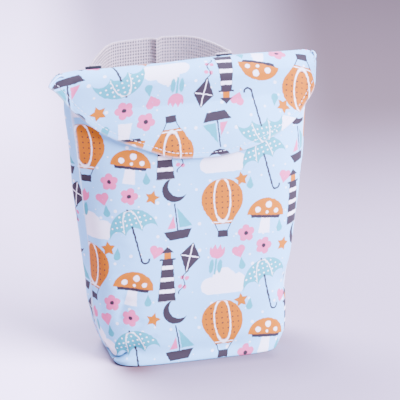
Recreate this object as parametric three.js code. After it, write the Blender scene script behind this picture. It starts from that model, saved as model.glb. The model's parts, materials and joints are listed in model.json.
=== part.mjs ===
// A soft printed pouch for diapers: a boxed base, a front and a back panel that meet in side seams,
// a D-shaped flap that folds over the mouth, and a webbing grab handle on the back.
// Millimetres. X runs right and Y runs back as seen from the front, Z is up,
// and the origin is the middle of the base's underside.

import * as THREE from 'three';

// Cloth sizes, laid flat
const FRONT_WIDTH = 190;   // front panel, side seam to side seam
const BACK_WIDTH = 212;    // back panel with the sides that it wraps round, and the flap
const FRONT_TOP = 204;     // height of the mouth's front edge
const BACK_TOP = 221;      // height where the back panel ends and the flap begins
const WALL = 1.2;          // printed cloth with its coating
const FLAP_WALL = 1.6;     // two layers, sewn and turned
const BASE_WALL = 1.6;
const GAP = 0.3;           // left between pieces
const BASE_GAP = 0.4;      // left round the base, where the walls turn under

// Webbing handle and the pads under its ends
const WEBBING_WIDTH = 25;
const WEBBING_THICK = 1.6;
const PAD_WIDTH = 13;
const PAD_THICK = 1.6;
const PAD_BOTTOM = 204.5;
const PAD_LEFT_X = -67.5;
const PAD_RIGHT_X = 38.3;

// The filled bag's sections. Each half keeps the width of its cloth, so its depth follows from its shape:
// depth = reach * (1 - |x / half_width| ^ power) ^ round, with the reach that gives the cloth's width.
// left and right: distance of the side seams from the middle; seam: their y; the bulges: how far the
// back panel swells past each seam; splay: how far it spreads above the mouth; turn: degrees about Z;
// back_shown: share of the back's width that isn't tucked into the base's corners.
const SECTION_COLUMNS = ['height', 'left', 'right', 'seam', 'front_power', 'front_round',
  'back_power', 'back_round', 'left_bulge', 'right_bulge', 'splay', 'turn', 'back_shown'];
const SECTIONS = [
  [0, 68.0, 68.0, -3.5, 6.0, 0.167, 6.0, 0.167, 0.0, 0.0, 0.0, 2.2, 0.920],
  [14, 72.8, 77.6, -4.4, 4.4, 0.28, 5.0, 0.20, 1.0, 1.0, 0.0, 2.0, 0.975],
  [40, 77.0, 79.6, -2.4, 4.4, 0.36, 4.4, 0.23, 3.5, 3.0, 0.0, 1.6, 0.99],
  [85, 78.2, 86.5, 2.0, 4.2, 0.46, 4.0, 0.25, 8.5, 5.5, 0.0, 1.0, 1.0],
  [130, 81.8, 92.5, 6.0, 3.6, 0.56, 4.0, 0.25, 8.2, 6.0, 0.0, 0.0, 1.0],
  [175, 86.2, 95.0, 8.5, 2.6, 0.78, 4.0, 0.25, 7.0, 5.0, 0.0, 0.0, 1.0],
  [204, 91.2, 96.3, 9.5, 2.0, 1.00, 4.0, 0.25, 5.0, 4.0, 0.0, 0.0, 1.0],
  [222, 92.5, 97.0, 10.0, 2.0, 1.00, 3.2, 0.36, 1.0, 1.0, 5.0, 2.0, 1.0],
];

// The flap's edge. across: place along the fold; length: cloth from the fold to the edge;
// stand_off: how far its face stands in front of the bag's front; spread: how far it reaches out sideways;
// crest: share of the roll's way forward at which it is highest; rise: how far it rolls up above the back.
const FLAP_COLUMNS = ['across', 'length', 'stand_off', 'spread', 'crest', 'rise'];
const FLAP_EDGE = [
  [-106, 22.8, 11.0, 13.0, 0.18, 10.0],
  [-98, 30, 10.0, 10.0, 0.24, 10.8],
  [-84, 53, 7.5, 5.5, 0.34, 11.2],
  [-66, 73.8, 5.0, 2.5, 0.44, 10.9],
  [-42, 89.6, 3.4, 0.8, 0.50, 11.2],
  [-14, 103, 2.8, 0.0, 0.50, 11.6],
  [16, 106.4, 2.6, 0.0, 0.50, 12.3],
  [44, 100.8, 2.6, 0.0, 0.50, 12.2],
  [70, 86.3, 2.6, 0.3, 0.48, 11.3],
  [88, 68.6, 2.4, 0.6, 0.42, 10.6],
  [99, 48.8, 1.8, 1.8, 0.36, 10.8],
  [106, 31, 1.2, 3.6, 0.32, 11.6],
];

// Dents and folds in the walls: a line from one place to another, and how deep and how wide it is.
const FOLD_COLUMNS = ['panel', 'x0', 'z0', 'x1', 'z1', 'depth', 'spread'];
const FOLDS = [
  ['front', 76, 52, 96, 62, 3.4, 9],      // dent above the right bottom corner
  ['front', -70, 6, -50, 13, 2.6, 5],     // tuck at the left bottom corner
  ['front', -66, 30, -54, 60, 2.0, 11],   // hollow above the tuck
  ['front', -40, 4, 30, 3, 1.2, 9],       // the base's edge drawn in
  ['back', -88, 60, -70, 120, 2.2, 12],   // hollow in the left side
  ['back', 66, 80, 90, 130, 2.2, 12],     // hollow in the right side
];

// The bag leans: each level tilts up to the right, more towards the top.
const TILT = 0.03;
const TILT_HEIGHT = 230;

// The handle's run seen from above, from its left end to its right end, and its rise above its ends.
const STRAP_COLUMNS = ['x', 'behind_pads', 'rise'];
const STRAP_RUN = [
  [-70, 3, 0],
  [-66.5, 12, 0.5],
  [-58.5, 28, 1.5],
  [-50, 42, 2.4],
  [-43, 47.5, 2.8],
  [-29, 50, 3],
  [-14, 51.5, 3],
  [0, 51.5, 3],
  [14, 49.5, 2.8],
  [24, 44, 2.3],
  [32.5, 31, 1.5],
  [40, 12, 0.5],
  [42.3, 3, 0],
];
const CREASE_X = -8;       // the handle's crease, pressed towards the bag
const CREASE_DEPTH = 4.8;
const CREASE_SPREAD = 2.8;

// Mesh steps
const FRONT_STEPS = 30;
const BACK_STEPS = 34;
const CURVE_STEPS = 160;
const FRONT_LEVELS = 19;
const BACK_LEVELS = 21;
const FLAP_STEPS = 34;
const FLAP_ROWS = 18;

const column = (names, rows, name) => rows.map((row) => row[names.indexOf(name)]);

// A smooth curve through a table's column that doesn't overshoot between its rows.
function through(xs, ys) {
  const last = xs.length - 1;
  const slope = [];
  for (let i = 0; i < last; i++) slope.push((ys[i + 1] - ys[i]) / (xs[i + 1] - xs[i]));
  const tangent = xs.map((_, i) => {
    if (i === 0) return slope[0];
    if (i === last) return slope[last - 1];
    if (slope[i - 1] * slope[i] <= 0) return 0;
    return 2 * slope[i - 1] * slope[i] / (slope[i - 1] + slope[i]);
  });
  return (x) => {
    let i = 0;
    while (i < last - 1 && x > xs[i + 1]) i++;
    const h = xs[i + 1] - xs[i];
    const t = Math.min(1, Math.max(0, (x - xs[i]) / h));
    const u = 1 - t;
    return ys[i] * (1 + 2 * t) * u * u + ys[i + 1] * t * t * (3 - 2 * t)
      + h * t * u * (tangent[i] * u - tangent[i + 1] * t);
  };
}

function tableReader(names, rows) {
  const xs = column(names, rows, names[0]);
  const curves = names.slice(1).map((name) => [name, through(xs, column(names, rows, name))]);
  return (x) => Object.fromEntries(curves.map(([name, curve]) => [name, curve(x)]));
}

const sectionAt = tableReader(SECTION_COLUMNS, SECTIONS);
const flapAt = tableReader(FLAP_COLUMNS, FLAP_EDGE);

// Lengths along a polyline, and even steps along it
function runLengths(points) {
  const s = [0];
  for (let i = 1; i < points.length; i++) s.push(s[i - 1] + points[i].distanceTo(points[i - 1]));
  return s;
}

function pointAlong(points, s, at) {
  let i = 0;
  while (i < points.length - 2 && at > s[i + 1]) i++;
  const t = Math.min(1, Math.max(0, (at - s[i]) / (s[i + 1] - s[i])));
  return points[i].clone().lerp(points[i + 1], t);
}

// Half a section in plan, from the left seam to the right one, before it is placed
function halfShape(halfWidth, reach, power, round) {
  const points = [];
  for (let i = 0; i <= 2 * CURVE_STEPS; i++) {
    const f = 1 - Math.abs(i - CURVE_STEPS) / CURVE_STEPS;
    const x = halfWidth * (1 - f * f) * Math.sign(i - CURVE_STEPS);
    const y = reach * Math.max(0, 1 - Math.pow(1 - f * f, power)) ** round;
    points.push(new THREE.Vector2(x, y));
  }
  return points;
}

// The reach that makes half a section as long as the cloth is wide
function reachFor(width, halfWidth, power, round) {
  let low = 0.2;
  let high = 70;
  for (let i = 0; i < 40; i++) {
    const middle = (low + high) / 2;
    const length = runLengths(halfShape(halfWidth, middle, power, round)).at(-1);
    if (length < width) low = middle;
    else high = middle;
  }
  return low;
}

// A panel's row of points at one height: even steps of cloth from the left seam to the right seam
function panelRow(panel, z, steps) {
  const at = sectionAt(z);
  const back = panel === 'back';
  const halfWidth = (at.left + at.right) / 2 + (back ? at.splay : 0);
  const middle = (at.right - at.left) / 2;
  const power = back ? at.back_power : at.front_power;
  const round = back ? at.back_round : at.front_round;
  const reach = reachFor(back ? BACK_WIDTH * at.back_shown : FRONT_WIDTH, halfWidth, power, round);
  const shape = halfShape(halfWidth, reach, power, round);
  const s = runLengths(shape);
  const turn = THREE.MathUtils.degToRad(at.turn);
  const row = [];
  for (let i = 0; i <= steps; i++) {
    const p = pointAlong(shape, s, s.at(-1) * i / steps);
    const swell = p.x < 0 ? at.left_bulge : at.right_bulge;
    const bulge = back ? swell * Math.sin(Math.PI * Math.min(1, p.y / reach)) : 0;
    const x = middle + p.x + Math.sign(p.x) * bulge;
    const y = at.seam + (back ? p.y : -p.y);
    row.push(new THREE.Vector3(
      x * Math.cos(turn) - y * Math.sin(turn), x * Math.sin(turn) + y * Math.cos(turn), z));
  }
  return row;
}

// How far the folds push a place on a panel inward
function foldDepth(panel, x, z) {
  let depth = 0;
  for (const row of FOLDS) {
    const fold = Object.fromEntries(FOLD_COLUMNS.map((name, i) => [name, row[i]]));
    if (fold.panel !== panel) continue;
    const run = new THREE.Vector2(fold.x1 - fold.x0, fold.z1 - fold.z0);
    const to = new THREE.Vector2(x - fold.x0, z - fold.z0);
    const t = Math.min(1, Math.max(0, to.dot(run) / run.lengthSq()));
    const away = to.addScaledVector(run, -t).length();
    depth += fold.depth * Math.exp(-((away / fold.spread) ** 2));
  }
  return depth;
}

const lean = (p) => new THREE.Vector3(p.x, p.y, p.z + TILT * p.x * p.z / TILT_HEIGHT);

// Levels, closer together near the base where the corners turn under
const levels = (top, count) => Array.from({ length: count }, (_, i) => {
  const f = i / (count - 1);
  return top * (0.45 * f + 0.55 * f * f);
});

// Both panels as one loop per level, so that the wall's inside is mitred at the seams.
// Each entry holds the outer and inner points of one panel's row.
function wallRows(panel, top, count, steps) {
  const other = panel === 'front' ? 'back' : 'front';
  const way = panel === 'front' ? 1 : -1;
  return levels(top, count).map((z) => {
    const row = panelRow(panel, z, steps);
    const mate = panelRow(other, z, steps);
    const before = mate[1];
    const after = mate[steps - 1];
    const normals = row.map((p, i) => {
      const a = i === 0 ? before : row[i - 1];
      const b = i === steps ? after : row[i + 1];
      const there = p.clone().sub(a).normalize();
      const on = b.clone().sub(p).normalize();
      const along = there.add(on);
      return new THREE.Vector3(along.y * way, -along.x * way, 0).normalize();
    });
    const settle = THREE.MathUtils.smoothstep(z, 1, 10);
    const outer = row.map((p, i) => {
      const depth = foldDepth(panel, p.x, z) * settle;
      return p.clone().addScaledVector(normals[i], -depth);
    });
    const inner = outer.map((p, i) => p.clone().addScaledVector(normals[i], -WALL));
    for (const [end, next] of [[0, 1], [steps, steps - 1]]) {
      const step = row[next].clone().sub(row[end]).setLength(GAP / 2);
      outer[end].add(step);
      inner[end].add(step);
    }
    return { outer, inner };
  });
}

// A closed sheet from a grid of outer points and the matching grid of inner points
function sheetGeometry(outer, inner, flip) {
  const rows = outer.length;
  const cols = outer[0].length;
  const points = [...outer.flat(), ...inner.flat()].map(lean);
  const half = rows * cols;
  const id = (side, r, c) => side * half + r * cols + c;
  const index = [];
  const quad = (a, b, c, d) => index.push(a, b, c, a, c, d);
  for (let r = 0; r + 1 < rows; r++) {
    for (let c = 0; c + 1 < cols; c++) {
      quad(id(0, r, c), id(0, r, c + 1), id(0, r + 1, c + 1), id(0, r + 1, c));
      quad(id(1, r, c), id(1, r + 1, c), id(1, r + 1, c + 1), id(1, r, c + 1));
    }
  }
  const rim = [];
  for (let c = 0; c < cols; c++) rim.push([0, c]);
  for (let r = 1; r < rows; r++) rim.push([r, cols - 1]);
  for (let c = cols - 2; c >= 0; c--) rim.push([rows - 1, c]);
  for (let r = rows - 2; r > 0; r--) rim.push([r, 0]);
  rim.forEach(([r, c], i) => {
    const [nr, nc] = rim[(i + 1) % rim.length];
    quad(id(0, r, c), id(1, r, c), id(1, nr, nc), id(0, nr, nc));
  });
  if (flip) for (let i = 0; i < index.length; i += 3) [index[i], index[i + 1]] = [index[i + 1], index[i]];
  return meshGeometry(points, index);
}

function meshGeometry(points, index) {
  const geometry = new THREE.BufferGeometry();
  geometry.setAttribute('position', new THREE.Float32BufferAttribute(points.flatMap((p) => p.toArray()), 3));
  geometry.setIndex(index);
  geometry.computeVertexNormals();
  return geometry;
}

// Walls
const frontRows = wallRows('front', FRONT_TOP, FRONT_LEVELS, FRONT_STEPS);
const backRows = wallRows('back', BACK_TOP, BACK_LEVELS, BACK_STEPS);
const frontGeometry = sheetGeometry(frontRows.map((r) => r.outer), frontRows.map((r) => r.inner), false);
const backGeometry = sheetGeometry(backRows.map((r) => r.outer), backRows.map((r) => r.inner), true);

// Base: a flat plate just inside the bottom edges of the walls, clear of them over its whole thickness
function baseGeometry() {
  const ring = (level) => [
    ...frontRows[level].inner.slice(1, -1), ...backRows[level].inner.slice(1, -1).reverse()];
  const low = ring(0);
  const high = ring(1);
  const outline = low.map((p, i) => {
    const a = low[(i + low.length - 1) % low.length];
    const b = low[(i + 1) % low.length];
    const along = b.clone().sub(a).normalize();
    const inward = new THREE.Vector3(-along.y, along.x, 0);
    const rise = high[i].clone().sub(p);
    const leanIn = Math.max(0, rise.dot(inward)) * BASE_WALL / rise.z;
    return new THREE.Vector3(p.x, p.y, 0).addScaledVector(inward, BASE_GAP + leanIn);
  });
  const count = outline.length;
  const top = outline.map((p) => p.clone().setZ(BASE_WALL));
  const middle = new THREE.Vector3(0, 0, 0);
  const points = [...outline, ...top, middle, middle.clone().setZ(BASE_WALL)];
  const index = [];
  for (let i = 0; i < count; i++) {
    const j = (i + 1) % count;
    index.push(i, j, count + j, i, count + j, count + i);
    index.push(2 * count, j, i, 2 * count + 1, count + i, count + j);
  }
  return meshGeometry(points, index);
}

// The front's y at a place, for the flap to hang before
const frontCache = new Map();
function frontY(x, z) {
  const level = Math.min(FRONT_TOP, Math.round(z));
  if (!frontCache.has(level)) frontCache.set(level, panelRow('front', level, FRONT_STEPS));
  const row = frontCache.get(level);
  let i = 0;
  while (i < row.length - 2 && x > row[i + 1].x) i++;
  const t = Math.min(1, Math.max(0, (x - row[i].x) / (row[i + 1].x - row[i].x)));
  return row[i].y + (row[i + 1].y - row[i].y) * t;
}

// Flap: each strip of cloth rolls over from the back panel's top and hangs down the front
function flapGrid() {
  const fold = panelRow('back', BACK_TOP, FLAP_STEPS);
  return fold.map((start, i) => {
    const across = BACK_WIDTH * (i / FLAP_STEPS - 0.5);
    const { length, stand_off: standOff, spread, crest, rise } = flapAt(across);
    const skew = Math.log(0.5) / Math.log(Math.acos(1 - 2 * crest) / Math.PI);
    const frontX = start.x + Math.sign(across) * spread;
    const hang = (z) => frontY(frontX, z) - standOff;
    const path = [];
    for (let k = 0; k <= 24; k++) {
      const angle = Math.PI * k / 24;
      const f = (1 - Math.cos(angle)) / 2;
      path.push(new THREE.Vector3(
        start.x + (frontX - start.x) * f,
        start.y + (hang(BACK_TOP) - start.y) * f,
        BACK_TOP + GAP + rise * Math.sin(Math.PI * (k / 24) ** skew)));
    }
    for (let z = BACK_TOP - 2; z > BACK_TOP - 90; z -= 2) path.push(new THREE.Vector3(frontX, hang(z), z));
    const s = runLengths(path);
    return Array.from({ length: FLAP_ROWS + 1 }, (_, k) => pointAlong(path, s, length * k / FLAP_ROWS));
  });
}

// Points moved inward by a thickness along the surface's own normals, level along the fold's lower edge
function offsetGrid(grid, thickness) {
  const rows = grid.length;
  const cols = grid[0].length;
  return grid.map((row, r) => row.map((p, c) => {
    const u = grid[Math.min(rows - 1, r + 1)][c].clone().sub(grid[Math.max(0, r - 1)][c]);
    const v = row[Math.min(cols - 1, c + 1)].clone().sub(row[Math.max(0, c - 1)]);
    const normal = v.cross(u);
    if (c === 0) normal.z = 0;
    normal.normalize();
    return p.clone().addScaledVector(normal, -thickness);
  }));
}

const flapOuter = flapGrid();
const flapGeometry = sheetGeometry(flapOuter, offsetGrid(flapOuter, FLAP_WALL), false);

// Pads: flat patches turned to lie against the back panel
const backAtPads = [PAD_BOTTOM, PAD_BOTTOM + 8, BACK_TOP].map((z) => panelRow('back', z, BACK_STEPS));
function padPlane(x) {
  const points = backAtPads.flat().filter((p) => p.y > 0 && Math.abs(p.x - x) < PAD_WIDTH / 2 + 8);
  const lowest = points.reduce((a, b) => (a.x < b.x ? a : b));
  const highest = points.reduce((a, b) => (a.x > b.x ? a : b));
  const slope = (highest.y - lowest.y) / (highest.x - lowest.x) * 0.5;
  const turn = Math.atan(slope);
  const normal = new THREE.Vector2(-Math.sin(turn), Math.cos(turn));
  const face = Math.max(...points.map((p) => (p.x - x) * normal.x + p.y * normal.y)) + GAP;
  return { turn, normal, face };
}

function padMesh(name, x, material) {
  const { turn, normal, face } = padPlane(x);
  const out = face + PAD_THICK / 2;
  const mesh = new THREE.Mesh(new THREE.BoxGeometry(PAD_WIDTH, PAD_THICK, WEBBING_WIDTH), material);
  mesh.name = name;
  mesh.position.copy(lean(new THREE.Vector3(
    x + normal.x * out, normal.y * out, PAD_BOTTOM + WEBBING_WIDTH / 2)));
  mesh.rotation.z = turn;
  return mesh;
}

// Handle: a ribbon of webbing, flat on both pads and bowed out behind the bag between them
function strapGeometry() {
  const onPad = (x, along, lift) => {
    const { turn, normal, face } = padPlane(x);
    const out = face + PAD_THICK + GAP + WEBBING_THICK / 2 + lift;
    return new THREE.Vector3(
      x + normal.x * out + Math.cos(turn) * along, normal.y * out + Math.sin(turn) * along, 0);
  };
  const half = PAD_WIDTH / 2;
  const leftSeat = [onPad(PAD_LEFT_X, half, 0), onPad(PAD_LEFT_X, 2, 0.05), onPad(PAD_LEFT_X, -2, 0.5)];
  const rightSeat = [onPad(PAD_RIGHT_X, 2, 0.5), onPad(PAD_RIGHT_X, -2, 0.05), onPad(PAD_RIGHT_X, -half, 0)];
  const run = STRAP_RUN.map(([x, behind, rise]) => new THREE.Vector3(x, leftSeat[0].y + behind, rise));
  const curve = new THREE.CatmullRomCurve3([...leftSeat, ...run, ...rightSeat], false, 'centripetal');
  const middle = curve.getSpacedPoints(100).map((p) => {
    const dip = p.y > 60 ? CREASE_DEPTH * Math.exp(-(((p.x - CREASE_X) / CREASE_SPREAD) ** 2)) : 0;
    return new THREE.Vector3(p.x, p.y - dip, p.z);
  });
  const points = [];
  middle.forEach((p, i) => {
    const a = middle[Math.max(0, i - 1)];
    const b = middle[Math.min(middle.length - 1, i + 1)];
    const along = new THREE.Vector2(b.x - a.x, b.y - a.y).normalize();
    for (const [side, up] of [[1, 0], [-1, 0], [-1, 1], [1, 1]]) {
      points.push(lean(new THREE.Vector3(
        p.x - along.y * side * WEBBING_THICK / 2,
        p.y + along.x * side * WEBBING_THICK / 2,
        PAD_BOTTOM + p.z + up * WEBBING_WIDTH)));
    }
  });
  const index = [0, 1, 2, 0, 2, 3];
  for (let i = 0; i + 1 < middle.length; i++) {
    for (let k = 0; k < 4; k++) {
      const [a, b] = [4 * i + k, 4 * i + (k + 1) % 4];
      index.push(a, a + 4, b + 4, a, b + 4, b);
    }
  }
  const end = 4 * (middle.length - 1);
  index.push(end, end + 2, end + 1, end, end + 3, end + 2);
  return meshGeometry(points, index);
}

const cloth = new THREE.MeshStandardMaterial({ color: 0xcfe0f2, roughness: 0.8, metalness: 0 });
const webbing = new THREE.MeshStandardMaterial({ color: 0xc2b9c3, roughness: 0.9, metalness: 0 });
const hook = new THREE.MeshStandardMaterial({ color: 0x2a262c, roughness: 0.95, metalness: 0 });

const bag = new THREE.Group();
const add = (name, geometry, material) => {
  const mesh = new THREE.Mesh(geometry, material);
  mesh.name = name;
  bag.add(mesh);
};
add('front_panel', frontGeometry, cloth);
add('back_panel', backGeometry, cloth);
add('base_panel', baseGeometry(), cloth);
add('flap', flapGeometry, cloth);
add('handle_strap', strapGeometry(), webbing);
bag.add(padMesh('hook_pad_left', PAD_LEFT_X, hook));
bag.add(padMesh('hook_pad_right', PAD_RIGHT_X, hook));

export default bag;
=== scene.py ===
# %% [markdown]
# # A printed pouch for diapers
# The real thing is a small soft bag of coated polyester: a front and a back panel sewn together at
# the sides, a boxed bottom, a flap that folds over the mouth, and a grab handle of grey webbing.
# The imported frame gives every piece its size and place. This lesson gives each of them its cloth.

import json
import math

import bmesh
import bpy
import numpy as np
from mathutils import Matrix, Vector

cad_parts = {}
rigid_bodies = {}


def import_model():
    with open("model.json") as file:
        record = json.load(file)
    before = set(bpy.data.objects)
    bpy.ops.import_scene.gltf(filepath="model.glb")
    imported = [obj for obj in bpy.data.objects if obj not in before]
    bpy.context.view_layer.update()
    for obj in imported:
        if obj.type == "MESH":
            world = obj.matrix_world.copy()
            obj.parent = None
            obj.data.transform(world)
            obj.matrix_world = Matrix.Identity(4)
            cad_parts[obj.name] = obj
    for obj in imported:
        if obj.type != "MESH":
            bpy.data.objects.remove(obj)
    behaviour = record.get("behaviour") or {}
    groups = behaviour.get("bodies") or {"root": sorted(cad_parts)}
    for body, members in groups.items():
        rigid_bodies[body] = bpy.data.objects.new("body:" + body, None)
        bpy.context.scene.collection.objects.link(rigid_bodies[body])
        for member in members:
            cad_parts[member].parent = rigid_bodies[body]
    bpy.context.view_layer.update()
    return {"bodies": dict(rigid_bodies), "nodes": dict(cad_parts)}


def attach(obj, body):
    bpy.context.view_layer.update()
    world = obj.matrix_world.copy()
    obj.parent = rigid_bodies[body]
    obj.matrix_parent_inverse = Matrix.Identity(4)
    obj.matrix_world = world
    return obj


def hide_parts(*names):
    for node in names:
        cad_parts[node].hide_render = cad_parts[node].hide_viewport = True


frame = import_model()
MM = 0.001

# %% [markdown]
# ## Camera
# The photograph was taken from a little to the left of the front and from above, about a metre and
# a half away. A camera can be placed by eye, but these angles were measured from the base's corners
# and the flap's fold, so that the outline can be compared with the photograph line by line.

# %% Place the camera
AZIMUTH, ELEVATION, ROLL = (math.radians(angle) for angle in (-13.8, 20.4, 0.46))
DISTANCE = 1.5
FOCAL_PX = 1893
IMAGE_PX = 400

back_way = Vector((
    math.sin(AZIMUTH) * math.cos(ELEVATION),
    -math.cos(AZIMUTH) * math.cos(ELEVATION),
    math.sin(ELEVATION),
))
level = Vector((math.cos(AZIMUTH), math.sin(AZIMUTH), 0))
upright = back_way.cross(level)
right_way = math.cos(ROLL) * level + math.sin(ROLL) * upright
up_way = math.cos(ROLL) * upright - math.sin(ROLL) * level

metres_per_px = DISTANCE / FOCAL_PX
aim = Vector((0, 0, 0.115)) + (11.6 * right_way + 8.3 * up_way) * metres_per_px
camera = bpy.data.objects.new("camera", bpy.data.cameras.new("camera"))
camera.data.sensor_width = 36
camera.data.lens = 36 * FOCAL_PX / IMAGE_PX
turned = Matrix((right_way, up_way, back_way)).transposed().to_4x4()
camera.matrix_world = Matrix.Translation(aim + back_way * DISTANCE) @ turned
bpy.context.collection.objects.link(camera)
bpy.context.scene.camera = camera
print("camera lens", round(camera.data.lens, 1), "mm")

# %% [markdown]
# ## The filled bag, level by level
# Cloth hardly stretches, so at every height the front keeps its 190 mm and the back its 212 mm from
# seam to seam. Each level is a rounded half shape whose depth follows from that length. A cloth
# simulation could find such a form, but then the folds of the photograph could not be placed.
# The tables are the ones that the CAD model was lofted from, in millimetres.

# %% Tables
FRONT_WIDTH = 190
BACK_WIDTH = 212
FRONT_TOP = 204
BACK_TOP = 221
WALL = 1.2
FLAP_WALL = 1.6
BASE_WALL = 1.6
GAP = 0.3
TILT = 0.03 / 230

SECTION_COLUMNS = (
    "height left right seam front_power front_round back_power back_round "
    "left_bulge right_bulge splay turn back_shown"
)
SECTIONS = [
    (0, 68.0, 68.0, -3.5, 6.0, 0.167, 6.0, 0.167, 0.0, 0.0, 0.0, 2.2, 0.920),
    (14, 72.8, 77.6, -4.4, 4.4, 0.28, 5.0, 0.20, 1.0, 1.0, 0.0, 2.0, 0.975),
    (40, 77.0, 79.6, -2.4, 4.4, 0.36, 4.4, 0.23, 3.5, 3.0, 0.0, 1.6, 0.99),
    (85, 78.2, 86.5, 2.0, 4.2, 0.46, 4.0, 0.25, 8.5, 5.5, 0.0, 1.0, 1.0),
    (130, 81.8, 92.5, 6.0, 3.6, 0.56, 4.0, 0.25, 8.2, 6.0, 0.0, 0.0, 1.0),
    (175, 86.2, 95.0, 8.5, 2.6, 0.78, 4.0, 0.25, 7.0, 5.0, 0.0, 0.0, 1.0),
    (204, 91.2, 96.3, 9.5, 2.0, 1.00, 4.0, 0.25, 5.0, 4.0, 0.0, 0.0, 1.0),
    (222, 92.5, 97.0, 10.0, 2.0, 1.00, 3.2, 0.36, 1.0, 1.0, 5.0, 2.0, 1.0),
]

# Dents: a line across the panel from one place to another, how deep it is and how wide.
# A negative depth is a raised fold.
DENTS = {
    "front": [
        ((76, 52), (96, 62), 3.4, 9),
        ((-70, 6), (-50, 13), 2.6, 5),
        ((-66, 30), (-54, 60), 2.0, 11),
        ((-40, 4), (30, 3), 1.2, 9),
    ],
    "back": [
        ((-88, 60), (-70, 120), 2.2, 12),
        ((66, 80), (90, 130), 2.2, 12),
    ],
}
print(len(SECTIONS), "levels,", sum(map(len, DENTS.values())), "dents")

# %% [markdown]
# Between the rows of a table a smooth curve is drawn that never overshoots, so a seam that only
# moves outward in the table only moves outward on the bag.

# %% Curves and rows of cloth
def through(xs, ys):
    slope = np.diff(ys) / np.diff(xs)
    tangent = np.concatenate([slope[:1], np.zeros(len(xs) - 2), slope[-1:]])
    for i in range(1, len(xs) - 1):
        if slope[i - 1] * slope[i] > 0:
            tangent[i] = 2 * slope[i - 1] * slope[i] / (slope[i - 1] + slope[i])

    def curve(x):
        i = np.clip(np.searchsorted(xs, x) - 1, 0, len(xs) - 2)
        h = xs[i + 1] - xs[i]
        t = np.clip((x - xs[i]) / h, 0, 1)
        u = 1 - t
        ends = ys[i] * (1 + 2 * t) * u * u + ys[i + 1] * t * t * (3 - 2 * t)
        return ends + h * t * u * (tangent[i] * u - tangent[i + 1] * t)

    return curve


def reader(columns, rows):
    values = np.array(rows, float).T
    curves = {name: through(values[0], values[k]) for k, name in enumerate(columns.split()) if k}
    return lambda x: {name: curve(x) for name, curve in curves.items()}


def unit(v):
    return v / np.maximum(np.linalg.norm(v, axis=-1, keepdims=True), 1e-9)


def smoothstep(x, low, high):
    t = np.clip((x - low) / (high - low), 0, 1)
    return t * t * (3 - 2 * t)


def run_lengths(points):
    return np.concatenate([[0], np.cumsum(np.linalg.norm(np.diff(points, axis=0), axis=1))])


def points_along(points, at):
    s = run_lengths(points)
    return np.stack([np.interp(at, s, points[:, k]) for k in range(points.shape[1])], 1)


def half_shape(half_width, reach, power, rounding):
    side = np.linspace(-1, 1, 321)
    x = 1 - (1 - np.abs(side)) ** 2
    y = reach * np.maximum(0, 1 - x**power) ** rounding
    return np.stack([half_width * x * np.sign(side), y], 1)


def even_or_crowded(steps, crowded):
    f = np.linspace(0, 1, steps + 1)
    return f - crowded * np.sin(2 * np.pi * f) / (2 * np.pi)


section_at = reader(SECTION_COLUMNS, SECTIONS)


def panel_row(panel, z, steps, crowded=0.0):
    at = section_at(z)
    back = panel == "back"
    half_width = (at["left"] + at["right"]) / 2 + (at["splay"] if back else 0)
    power, rounding = at[panel + "_power"], at[panel + "_round"]
    width = BACK_WIDTH * at["back_shown"] if back else FRONT_WIDTH
    low, high = 0.2, 70.0
    for _ in range(40):
        reach = (low + high) / 2
        if run_lengths(half_shape(half_width, reach, power, rounding))[-1] < width:
            low = reach
        else:
            high = reach
    shape = half_shape(half_width, low, power, rounding)
    p = points_along(shape, run_lengths(shape)[-1] * even_or_crowded(steps, crowded))
    swell = np.where(p[:, 0] < 0, at["left_bulge"], at["right_bulge"])
    bulge = swell * np.sin(np.pi * np.minimum(1, p[:, 1] / low)) if back else 0
    x = (at["right"] - at["left"]) / 2 + p[:, 0] + np.sign(p[:, 0]) * bulge
    y = at["seam"] + (p[:, 1] if back else -p[:, 1])
    c, s = math.cos(math.radians(at["turn"])), math.sin(math.radians(at["turn"]))
    return np.stack([x * c - y * s, x * s + y * c, np.full_like(x, z)], 1)


for height in (0, 100, 200):
    depth = panel_row("back", height, 40)[:, 1].max() - panel_row("front", height, 40)[:, 1].min()
    print(f"at {height} mm the bag is {depth:.0f} mm deep")

# %% [markdown]
# ## Folds and slack
# A bag that has been filled and set down is never smooth. Besides the dents that the CAD model has,
# the cloth gets its smaller folds: a tuck at the left bottom corner, a crease in the right hand
# dent, long shallow waves of slack, and fine wrinkles that run across the left of the front. They
# could be a bump in the material, but a fold turns the light at the outline too, so they are moves
# of the vertices. A cloth simulation would not put them where the photograph has them.

# %% Small folds and slack
CREASES = {
    "front": [
        ((-69, 2.6), (-59, 8), 3.6, 0.9),
        ((-68, 6), (-60, 11), 1.4, 4.0),
        ((-68, 0.6), (-57, 4.6), -0.7, 1.6),
        ((-60, 10), (-46, 34), 0.7, 3.5),
        ((-62, 38), (-58, 52), 1.1, 3.2),
        ((-56, 8), (-36, 22), 0.5, 3.0),
        ((80, 46), (88, 60), 1.0, 2.6),
        ((70, 44), (90, 66), -0.5, 7.0),
        ((-78, 150), (-60, 90), 0.7, 8.0),
        ((-78, 110), (-66, 60), -0.6, 6.0),
        ((60, 20), (72, 40), 0.6, 5.0),
        ((20, 8), (60, 12), 0.5, 5.0),
    ],
    "back": [
        ((-80, 30), (-60, 60), 0.7, 5.0),
        ((60, 20), (86, 60), 0.8, 6.0),
        ((-40, 190), (-10, 120), 0.6, 9.0),
        ((30, 180), (60, 140), 0.6, 9.0),
        ((-50, 12), (-10, 30), 0.5, 6.0),
    ],
}


def pressed(folds, x, z):
    depth = np.zeros_like(x)
    for start, end, deep, spread in folds:
        run = np.subtract(end, start)
        t = np.clip(((x - start[0]) * run[0] + (z - start[1]) * run[1]) / (run @ run), 0, 1)
        away = np.hypot(x - start[0] - t * run[0], z - start[1] - t * run[1])
        depth += deep * np.exp(-((away / spread) ** 2))
    return depth


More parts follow.
